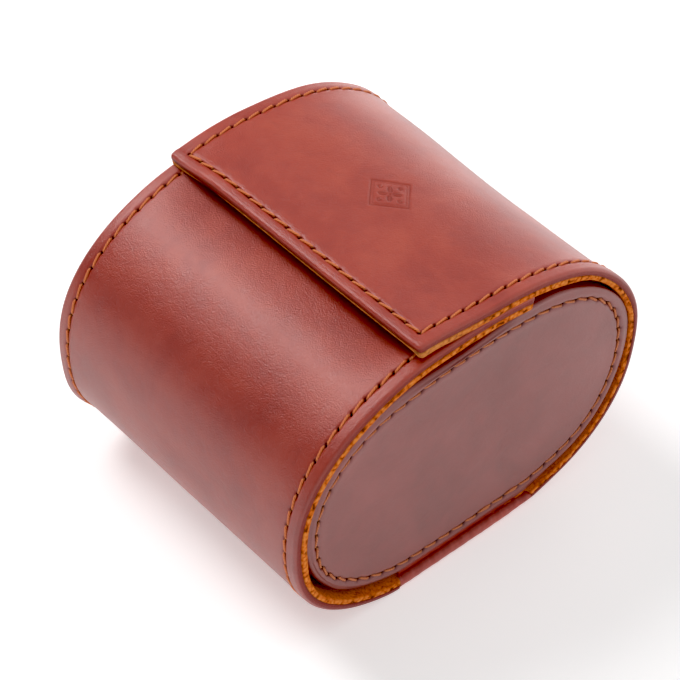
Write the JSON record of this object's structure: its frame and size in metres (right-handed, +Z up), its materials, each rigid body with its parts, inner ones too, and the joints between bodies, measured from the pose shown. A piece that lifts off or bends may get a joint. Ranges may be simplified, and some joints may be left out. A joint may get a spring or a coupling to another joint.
{
  "type": "watch travel case",
  "caption": "Oval leather travel case for a watch: a strip wrapped into a tube with a closing flap, hinged oval ends and a loose watch pillow inside.",
  "frame": {"origin": "middle of the flat underside, on the ground", "axes": "+X along the tube towards the right end panel, -Y towards the side the flap opens from, +Z up"},
  "size_m": [0.08, 0.1012, 0.0752],
  "materials": {
    "leather_wrap": "smooth waxed full-grain leather, cognac to mahogany, semi-gloss with burnished edges",
    "leather_end": "smooth waxed full-grain leather, semi-gloss",
    "suede": "orange-tan brushed suede",
    "thread": "waxed twisted thread",
    "magnet": "nickel-plated disc",
    "board": "grey fibre board, unfinished",
    "foam": "open-cell upholstery foam"
  },
  "bodies": {
    "base": {"base_leather": "leather_wrap", "base_lining": "suede", "base_thread": "thread", "right_tab": "leather_wrap", "left_tab": "leather_wrap", "pillow_cover": "suede", "pillow_foam": "foam", "pillow_right_cap": "suede", "pillow_left_cap": "suede"},
    "front": {"front_leather": "leather_wrap", "front_lining": "suede", "front_thread": "thread", "front_magnets": "magnet"},
    "back": {"back_leather": "leather_wrap", "back_lining": "suede", "back_thread": "thread"},
    "flap": {"flap_leather": "leather_wrap", "flap_lining": "suede", "flap_thread": "thread", "flap_magnets": "magnet"},
    "right_end": {"right_end_leather": "leather_end", "right_end_board": "board", "right_end_lining": "suede", "right_end_thread": "thread"},
    "left_end": {"left_end_leather": "leather_end", "left_end_board": "board", "left_end_lining": "suede", "left_end_thread": "thread"}
  },
  "joints": [
    {"name": "back_fold", "type": "hinge", "parent": "base", "child": "back", "pos_m": [0, 0.04079, 0.00996], "axis": [-1, 0, 0], "range_deg": [0, 80]},
    {"name": "flap_open", "type": "hinge", "parent": "back", "child": "flap", "pos_m": [0, 0.04129, 0.05929], "axis": [-1, 0, 0], "range_deg": [0, 100]},
    {"name": "front_fold", "type": "hinge", "parent": "base", "child": "front", "pos_m": [0, -0.04079, 0.00996], "axis": [1, 0, 0], "range_deg": [0, 61]},
    {"name": "right_end_fold", "type": "hinge", "parent": "base", "child": "right_end", "pos_m": [0.0396, 0, 0.0033], "axis": [0, 1, 0], "range_deg": [0, 90]},
    {"name": "left_end_fold", "type": "hinge", "parent": "base", "child": "left_end", "pos_m": [-0.0396, 0, 0.0033], "axis": [0, -1, 0], "range_deg": [0, 90]}
  ],
  "couplings": [
    {"joint": "front_fold", "follows": "back_fold", "ratio": 0.75}
  ]
}
